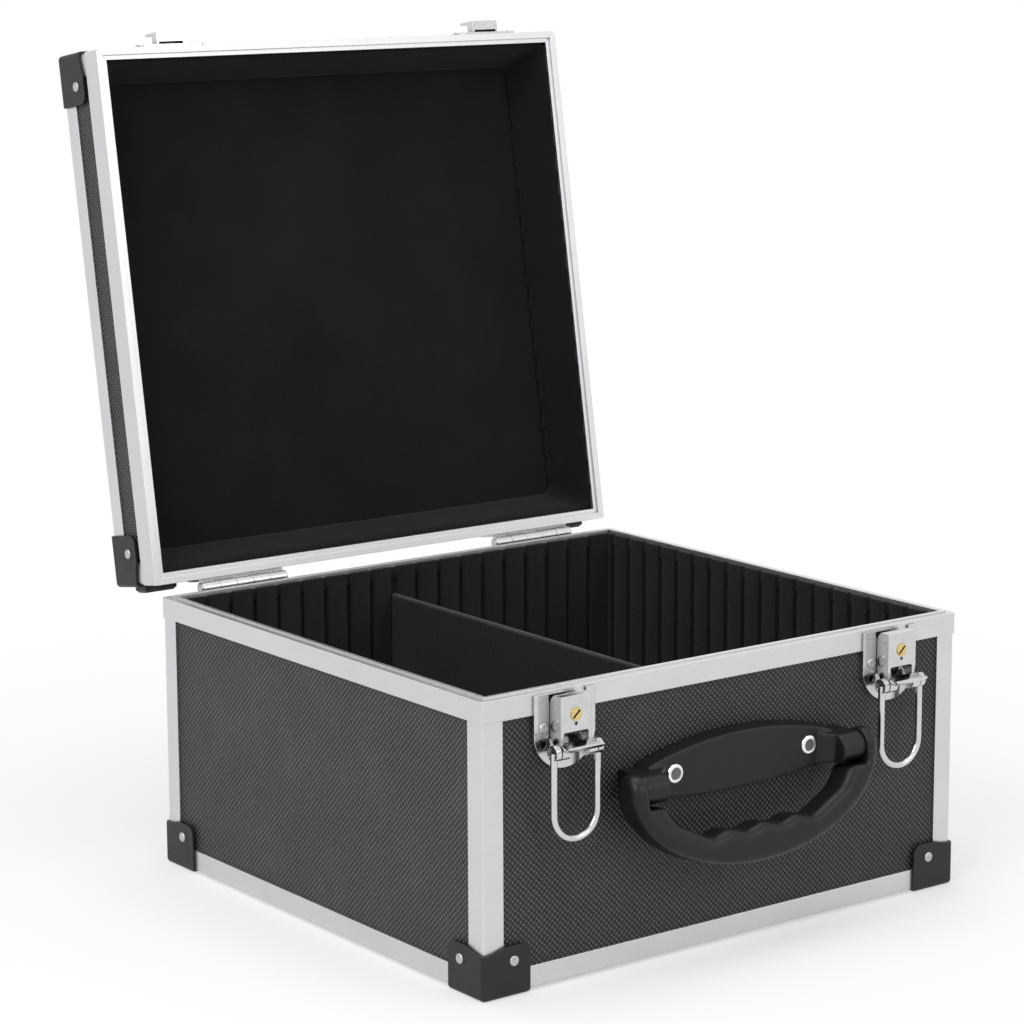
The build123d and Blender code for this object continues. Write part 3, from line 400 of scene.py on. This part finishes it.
def makeLaminate(name, turn):
    # raised dots in diagonal rows; turn brings the lid's panels back to square with the axes
    look = laminateLook
    material, tree, shader = newMaterial(name)
    place = putNode(tree, "ShaderNodeTexCoord")
    turned = feed(tree, putNode(tree, "ShaderNodeMapping"), Vector=place.outputs["Object"],
                  Rotation=(turn, 0, 0))
    facing = feed(tree, putNode(tree, "ShaderNodeMapping", vector_type="VECTOR"),
                  Vector=place.outputs["Normal"], Rotation=(turn, 0, 0))
    facing = feed(tree, putNode(tree, "ShaderNodeVectorMath", operation="ABSOLUTE"),
                  n0=facing.outputs["Vector"])
    at = putNode(tree, "ShaderNodeSeparateXYZ")
    tree.links.new(turned.outputs["Vector"], at.inputs[0])
    out = putNode(tree, "ShaderNodeSeparateXYZ")
    tree.links.new(facing.outputs["Vector"], out.inputs[0])

    def calc(operation, first, second=0.0, third=0.0):
        node = putNode(tree, "ShaderNodeMath", operation=operation)
        feed(tree, node, n0=first, n1=second)
        if operation == "MULTIPLY_ADD":
            feed(tree, node, n2=third)
        return node.outputs[0]

    def either(choice, first, second):
        node = putNode(tree, "ShaderNodeMix", data_type="FLOAT")
        return feed(tree, node, n0=choice, n2=first, n3=second).outputs[0]

    sideways = calc("GREATER_THAN", out.outputs["X"], look["facing"])
    upwards = calc("GREATER_THAN", out.outputs["Z"], look["facing"])
    across = either(sideways, at.outputs["X"], at.outputs["Y"])
    along = either(upwards, at.outputs["Z"], at.outputs["Y"])
    wobble = feed(tree, putNode(tree, "ShaderNodeTexNoise"), Vector=place.outputs["Object"],
                  Scale=look["wobbleScale"], Detail=1.0)
    wobble = calc("MULTIPLY_ADD", wobble.outputs["Fac"], look["wobble"], -look["wobble"] / 2)
    waves = 2 * pi / look["pitch"]
    rowOne = calc("COSINE", calc("ADD", calc("MULTIPLY", across, waves), wobble))
    rowTwo = calc("COSINE", calc("ADD", calc("MULTIPLY", along, waves), wobble))
    dots = calc("MULTIPLY", rowOne, rowTwo)
    dots = feed(tree, putNode(tree, "ShaderNodeMapRange", interpolation_type="SMOOTHSTEP"), Value=dots,
                From_Min=look["dotFoot"], From_Max=look["dotTop"]).outputs["Result"]
    tone = placeGroup(tree, mottle, Scale=look["toneScale"], Fine_Scale=look["toneFine"],
                      Low=-look["tone"], High=look["tone"])
    rough = placeGroup(tree, mottle, Scale=look["roughScale"], Fine_Scale=look["roughFine"],
                       Low=look["rough"][0], High=look["rough"][1])
    # painted highlight and shade: the dot tops are painted lighter than the gaps between them, over a random tone
    lift = calc("ADD", dots, tone.outputs["Value"])
    base = feed(tree, putNode(tree, "ShaderNodeMix", data_type="RGBA"), n0=lift, n6=(*look["low"], 1),
                n7=(*look["high"], 1))
    edges = placeGroup(tree, softEdges, Radius=look["edge"])
    bump = feed(tree, putNode(tree, "ShaderNodeBump"), Strength=1.0, Distance=look["depth"], Height=dots,
                Normal=edges.outputs["Normal"])
    feed(tree, shader, Base_Color=base.outputs[2], Roughness=rough.outputs["Value"],
         Normal=bump.outputs["Normal"], Specular_IOR_Level=look["shine"])
    return material


bodyLaminate = makeLaminate("bodyLaminate", 0.0)
lidLaminate = makeLaminate("lidLaminate", lidAngle)


# low and high are the tones between the fibres and on them, top the painted light on the edges that face up
feltLooks = {
    "wallFelt": {
        "low": (0.0035, 0.0035, 0.0038), "high": (0.016, 0.016, 0.0165), "scale": 900.0, "depth": 0.00035,
        "sheen": 0.12,
    },
    "dividerFelt": {
        "low": (0.0035, 0.0035, 0.0038), "high": (0.014, 0.014, 0.0145), "scale": 900.0, "depth": 0.00035,
        "sheen": 0.12, "top": (0.05, 0.05, 0.05),
    },
    "lidFelt": {
        "low": (0.0028, 0.0028, 0.003), "high": (0.0095, 0.0095, 0.0098), "scale": 1100.0, "depth": 0.0002,
        "sheen": 0.05,
    },
}
pileFacts = {"detail": 6.0, "rough": 0.7, "tangle": 1.4, "tuftScale": 0.5, "tuftShare": 0.3,
             "markScale": 18.0, "marks": (-0.25, 0.3), "topFrom": 0.1, "topFull": 0.8, "roughScale": 30.0,
             "roughness": (0.82, 1.0), "sheenRough": 0.5, "shine": 0.15}


def makeFelt(name):
    # needled felt: short tangled fibres over slow pressing marks
    look = feltLooks[name]
    material, tree, shader = newMaterial(name)
    place = putNode(tree, "ShaderNodeTexCoord")
    fibres = feed(tree, putNode(tree, "ShaderNodeTexNoise"), Vector=place.outputs["Object"],
                  Scale=look["scale"], Detail=pileFacts["detail"], Roughness=pileFacts["rough"],
                  Distortion=pileFacts["tangle"])
    tufts = feed(tree, putNode(tree, "ShaderNodeTexVoronoi"), Vector=place.outputs["Object"],
                 Scale=look["scale"] * pileFacts["tuftScale"])
    pile = feed(tree, putNode(tree, "ShaderNodeMix", data_type="FLOAT"), n0=pileFacts["tuftShare"],
                n2=fibres.outputs["Fac"], n3=tufts.outputs["Distance"])
    tone = placeGroup(tree, mottle, Scale=pileFacts["markScale"], Fine_Scale=look["scale"],
                      Low=pileFacts["marks"][0], High=pileFacts["marks"][1])
    lift = feed(tree, putNode(tree, "ShaderNodeMath", operation="ADD", use_clamp=True), n0=pile.outputs[0],
                n1=tone.outputs["Value"])
    base = feed(tree, putNode(tree, "ShaderNodeMix", data_type="RGBA"), n0=lift.outputs[0],
                n6=(*look["low"], 1), n7=(*look["high"], 1))
    cloth = base.outputs[2]
    if "top" in look:
        # painted light: the edges that face up are painted lighter, where the light falls on them
        up = putNode(tree, "ShaderNodeSeparateXYZ")
        tree.links.new(place.outputs["Normal"], up.inputs[0])
        paintedTopLight = feed(tree, putNode(tree, "ShaderNodeMapRange", interpolation_type="SMOOTHSTEP"),
                    Value=up.outputs["Z"], From_Min=pileFacts["topFrom"], From_Max=pileFacts["topFull"])
        paintedTopLight = feed(tree, putNode(tree, "ShaderNodeMath", operation="MULTIPLY"), n0=paintedTopLight.outputs["Result"],
                    n1=lift.outputs[0])
        cloth = feed(tree, putNode(tree, "ShaderNodeMix", data_type="RGBA"), n0=paintedTopLight.outputs[0], n6=cloth,
                     n7=(*look["top"], 1)).outputs[2]
    bump = feed(tree, putNode(tree, "ShaderNodeBump"), Strength=1.0, Distance=look["depth"],
                Height=pile.outputs[0])
    rough = placeGroup(tree, mottle, Scale=pileFacts["roughScale"], Fine_Scale=look["scale"],
                       Low=pileFacts["roughness"][0], High=pileFacts["roughness"][1])
    feed(tree, shader, Base_Color=cloth, Roughness=rough.outputs["Value"], Normal=bump.outputs["Normal"],
         Sheen_Weight=look["sheen"], Sheen_Roughness=pileFacts["sheenRough"],
         Specular_IOR_Level=pileFacts["shine"])
    return material


felts = {name: makeFelt(name) for name in feltLooks}
print("materials ready")


# CAD nodes whose shape is right only get a finish
finishOfSlot = {"aluminium": "satinAluminium", "cap_plastic": "capPlastic", "rivets": "tumbledRivet",
                "latch_chrome": "latchChrome", "hinge_steel": "hingeNickel", "pin_steel": "drawnSteel",
                "lock_brass": "lockBrass", "handle_plastic": "gripPlastic"}


def dressNodes():
    for part in frame["record"]["subparts"]:
        node = frame["nodes"][part["node"]]
        slot = part["material_slot"]
        if part["node"] == "handle_rivets":
            material = finishes["eyeletSteel"]
        elif slot in finishOfSlot:
            material = finishes[finishOfSlot[slot]]
        elif slot == "panel_laminate":
            material = lidLaminate if part["node"].startswith("lid_") else bodyLaminate
        else:
            material = felts["wallFelt"]
        node.data.materials.clear()
        node.data.materials.append(material)


dressNodes()
print("frame dressed")


# Ribbed felt on the body's walls: a backing sheet, ribs with slots between them, and a collar that closes
# the slots behind the rim; rise is how far the felt stands up past the solid
ribFacts = {"frontPitch": 0.0155, "sidePitch": 0.0146, "slotWidth": 0.0052, "closedWidth": 0.0034,
            "backing": 0.0013, "lipClear": 0.0013, "lipHeight": 0.004, "collar": 0.0012, "rise": 0.0016,
            "round": 0.0006, "roundShare": 0.3, "stripRound": 0.0003, "cornerClear": 0.004, "alike": 0.0001}


def slotPlaces(pitch, first, limit):
    places = []
    place = first
    while place + ribFacts["slotWidth"] / 2 < limit:
        places += [place] if place == 0 else [-place, place]
        place += pitch
    return sorted(places)


def ribSpans(places, reach, used):
    # the felt between one slot and the next, out to both ends; it closes in on the empty slots
    halves = [ribFacts["slotWidth"] / 2 if place in used else ribFacts["closedWidth"] / 2 for place in places]
    starts = [-reach] + [place + half for place, half in zip(places, halves)]
    ends = [place - half for place, half in zip(places, halves)] + [reach]
    return list(zip(starts, ends))


def makeRibs(node, name):
    low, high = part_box(node)
    acrossX = high.x - low.x > high.y - low.y
    run, depth = (0, 1) if acrossX else (1, 0)
    middle = (low + high) / 2
    outward = 1 if (middle[depth] > (baseY if depth == 1 else 0)) else -1
    wall = high[depth] if outward > 0 else low[depth]
    face = low[depth] if outward > 0 else high[depth]
    reach = (high[run] - low[run]) / 2
    if acrossX:
        pitch = ribFacts["frontPitch"]
        places = slotPlaces(pitch, pitch / 2, reach - ribFacts["cornerClear"])
    else:
        places = slotPlaces(ribFacts["sidePitch"], 0.0, reach)

    def span(start, end, near, far, bottom, top):
        a = [0, 0, bottom]
        b = [0, 0, top]
        a[run], b[run] = middle[run] + start, middle[run] + end
        a[depth], b[depth] = min(near, far), max(near, far)
        return a, b

    rimTop = high.z - ribFacts["lipHeight"]
    feltTop = high.z + ribFacts["rise"]
    near = wall - outward * ribFacts["lipClear"]

    def makeRib(start, end):
        rib = addBox(*span(start, end, near, face, low.z, feltTop), "rib")
        width = min(ribFacts["round"], (end - start) * ribFacts["roundShare"])
        applyModifier(rib, "BEVEL", width=width, segments=4, limit_method="ANGLE")
        return rib

    sheetFace = wall - outward * ribFacts["backing"]
    collarFace = near - outward * ribFacts["collar"]
    collarFoot = rimTop - ribFacts["collar"]
    backing = addBox(*span(-reach, reach, wall, sheetFace, low.z, rimTop), "backing")
    collar = addBox(*span(-reach, reach, near, collarFace, collarFoot, feltTop - ribFacts["round"]), "collar")
    for strip in (backing, collar):
        applyModifier(strip, "BEVEL", width=ribFacts["stripRound"], segments=2)
    used = [-ribFacts["frontPitch"] / 2] if acrossX else []
    spans = ribSpans(places, reach, used)
    pattern = makeRib(*spans[1])
    pieces = [backing, collar, makeRib(*spans[0]), makeRib(*spans[-1]), pattern]
    for start, end in spans[2:-1]:
        if end - start < spans[1][1] - spans[1][0] - ribFacts["alike"]:  # the ribs beside the divider
            pieces.append(makeRib(start, end))
            continue
        offset = [0, 0, 0]
        offset[run] = start - spans[1][0]
        pieces.append(copyAlong(pattern, offset))
    lining = joinAll(pieces, name)
    finishPiece(lining, felts["wallFelt"], "case_body", (node,), smoothAngle=60)
    return lining


for side in ("front", "right", "back", "left"):
    makeRibs("lining_" + side, "feltRibs" + side.title())
print("wall felt ready")


# Felt-covered divider board, and the felt on the floor
dividerFacts = {"round": 0.0019, "inset": 0.00003, "wave": 0.00012, "waveScale": 45, "flatEdge": 0.001}


def makeDivider():
    low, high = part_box("divider")
    inset = Vector((dividerFacts["inset"],) * 3)
    board = addBox(low + inset, high - inset, "feltDivider")
    applyModifier(board, "BEVEL", width=dividerFacts["round"], segments=5, limit_method="ANGLE")
    applyModifier(board, "SUBSURF", subdivision_type="SIMPLE", levels=3, render_levels=3)
    edge = dividerFacts["flatEdge"]
    for vertex in board.data.vertices:
        ripple = noise.noise(vertex.co * dividerFacts["waveScale"]) * dividerFacts["wave"]
        if low.x + edge < vertex.co.x < high.x - edge:
            vertex.co.z += min(ripple, 0)
    finishPiece(board, felts["dividerFelt"], "divider", ("divider",), smoothAngle=60)


floorFacts = {"cells": 40, "wave": 0.0003, "waveScale": 30, "topSkin": 0.0001}


def makeFloorFelt():
    low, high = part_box("lining_floor")
    sheet = addBox(low, high, "feltFloor")
    bpy.ops.object.mode_set(mode="EDIT")
    bpy.ops.mesh.select_all(action="SELECT")
    bpy.ops.mesh.subdivide(number_cuts=floorFacts["cells"])
    bpy.ops.object.mode_set(mode="OBJECT")
    for vertex in sheet.data.vertices:
        if vertex.co.z > high.z - floorFacts["topSkin"]:
            vertex.co.z -= floorFacts["wave"] * (0.5 + 0.5 * noise.noise(vertex.co * floorFacts["waveScale"]))
    finishPiece(sheet, felts["wallFelt"], "case_body", ("lining_floor",), smoothAngle=50)


makeDivider()
makeFloorFelt()
print("divider and floor ready")


# Padding in the lid, worked from merged copies of the CAD forms
padFacts = {"voxel": 0.0024, "pull": 0.5, "rounds": 8, "crease": 0.00025, "creaseScale": 38, "fill": 0.9}


def makeLidPadding(node, name):
    pad = copyOfNode(node, name)
    applyModifier(pad, "REMESH", mode="VOXEL", voxel_size=padFacts["voxel"])
    applyModifier(pad, "SMOOTH", factor=padFacts["pull"], iterations=padFacts["rounds"])
    outwards = [vertex.normal.copy() for vertex in pad.data.vertices]
    for vertex, outward in zip(pad.data.vertices, outwards):
        vertex.co += outward * padFacts["crease"] * noise.noise(vertex.co * padFacts["creaseScale"])
    finishPiece(pad, felts["lidFelt"], "lid", (node,), smoothAngle=80)


makeLidPadding("lid_lining_pad", "lidPad")
makeLidPadding("lid_side_lining", "lidSidePads")
print("lid padding ready")


# Moulded handle: the copy is remeshed and relaxed, so that its edges turn over softly
gripFacts = {"voxel": 0.0009, "pull": 0.5, "rounds": 14}
bracketFacts = {"voxel": 0.0007, "pull": 0.5, "rounds": 5}


def makeMoulded(node, name, body, facts):
    piece = copyOfNode(node, name)
    applyModifier(piece, "REMESH", mode="VOXEL", voxel_size=facts["voxel"])
    applyModifier(piece, "SMOOTH", factor=facts["pull"], iterations=facts["rounds"])
    finishPiece(piece, finishes["gripPlastic"], body, (node,), smoothAngle=60)


makeMoulded("handle_grip", "handleGrip", "handle", gripFacts)
makeMoulded("handle_bracket", "handleBracket", "case_body", bracketFacts)
print("handle ready")


# Floor, light and camera
# The floor turns from its own tone to white between whiteFrom and whiteAt metres from the origin
stageFacts = {"floorSize": 30.0, "floorTone": (0.86, 0.86, 0.86), "floorRough": 0.9, "floorShine": 0.1,
              "worldTone": 0.5, "nearWhite": 0.5, "whiteFrom": 0.25, "whiteAt": 0.7}


def seenRays(tree):
    # 1 for the rays that show the background, straight, in metal or through glass
    path = putNode(tree, "ShaderNodeLightPath")
    seen = feed(tree, putNode(tree, "ShaderNodeMath", operation="MAXIMUM"), n0=path.outputs["Is Camera Ray"],
                n1=path.outputs["Is Glossy Ray"])
    seen = feed(tree, putNode(tree, "ShaderNodeMath", operation="MAXIMUM"), n0=seen.outputs[0],
                n1=path.outputs["Is Transmission Ray"])
    return seen.outputs[0]


def makeFloor():
    # white where it is seen away from the object, and it still takes the object's shadow
    clearSelection()
    bpy.ops.mesh.primitive_plane_add(size=stageFacts["floorSize"], location=(0, 0, 0))
    floor = bpy.context.object
    floor.name = "studioFloor"
    material, tree, shader = newMaterial("studioFloor")
    feed(tree, shader, Base_Color=(*stageFacts["floorTone"], 1), Roughness=stageFacts["floorRough"],
         Specular_IOR_Level=stageFacts["floorShine"])
    place = putNode(tree, "ShaderNodeTexCoord")
    away = feed(tree, putNode(tree, "ShaderNodeVectorMath", operation="LENGTH"), n0=place.outputs["Object"])
    white = feed(tree, putNode(tree, "ShaderNodeMapRange", interpolation_type="SMOOTHSTEP"),
                 Value=away.outputs["Value"], From_Min=stageFacts["whiteFrom"],
                 From_Max=stageFacts["whiteAt"], To_Min=stageFacts["nearWhite"], To_Max=1.0)
    share = feed(tree, putNode(tree, "ShaderNodeMath", operation="MULTIPLY"), n0=white.outputs["Result"],
                 n1=seenRays(tree))
    glow = feed(tree, putNode(tree, "ShaderNodeEmission"), Color=(1, 1, 1, 1), Strength=1.0)
    mixed = feed(tree, putNode(tree, "ShaderNodeMixShader"), n0=share.outputs[0], n1=shader.outputs[0],
                 n2=glow.outputs[0])
    tree.links.new(mixed.outputs[0], tree.nodes["Material Output"].inputs["Surface"])
    floor.data.materials.append(material)


def makeWorld():
    world = bpy.data.worlds.new("studioWorld")
    bpy.context.scene.world = world
    world.use_nodes = True
    tree = world.node_tree
    background = tree.nodes["Background"]
    level = feed(tree, putNode(tree, "ShaderNodeMix", data_type="FLOAT"), n0=seenRays(tree),
                 n2=stageFacts["worldTone"], n3=1.0)
    feed(tree, background, Color=(1, 1, 1, 1), Strength=level.outputs[0])


lampFacts = {
    "keyLight": {"place": (-2.3, -0.9, 1.9), "target": (0, 0, 0.15), "size": 1.6, "power": 40},
    "fillLight": {"place": (0.9, -2.4, 1.3), "target": (0, 0, 0.12), "size": 1.4, "power": 12},
    "topLight": {"place": (0.0, 0.2, 2.6), "target": (0, 0, 0.1), "size": 2.0, "power": 30},
}


def addSoftbox(name):
    facts = lampFacts[name]
    place, target = Vector(facts["place"]), Vector(facts["target"])
    clearSelection()
    bpy.ops.object.light_add(type="AREA", location=place)
    lamp = bpy.context.object
    lamp.name = name
    lamp.data.shape = "RECTANGLE"
    lamp.data.size = lamp.data.size_y = facts["size"]
    lamp.data.energy = facts["power"]
    lamp.rotation_euler = (target - place).to_track_quat("-Z", "Y").to_euler()


# place is measured from the middle of the case's base, the turns are in radians, lens and film in millimetres
cameraFacts = {"place": (-1.0281, -1.3272, 0.5247), "yaw": -0.646, "pitch": -0.192, "roll": -0.004,
               "lens": 113.6, "film": 36}


def makeCamera():
    facts = cameraFacts
    clearSelection()
    bpy.ops.object.camera_add(location=(facts["place"][0], facts["place"][1] + baseY, facts["place"][2]))
    camera = bpy.context.object
    camera.name = "photoCamera"
    turn = (Matrix.Rotation(facts["yaw"], 3, "Z") @ Matrix.Rotation(pi / 2 + facts["pitch"], 3, "X")
            @ Matrix.Rotation(facts["roll"], 3, "Z"))
    camera.rotation_euler = turn.to_euler()
    camera.data.sensor_width = facts["film"]
    camera.data.lens = facts["lens"]
    bpy.context.scene.camera = camera


makeFloor()
makeWorld()
for lampName in lampFacts:
    addSoftbox(lampName)
makeCamera()
bpy.context.scene.view_settings.view_transform = "Standard"
print("stage ready")
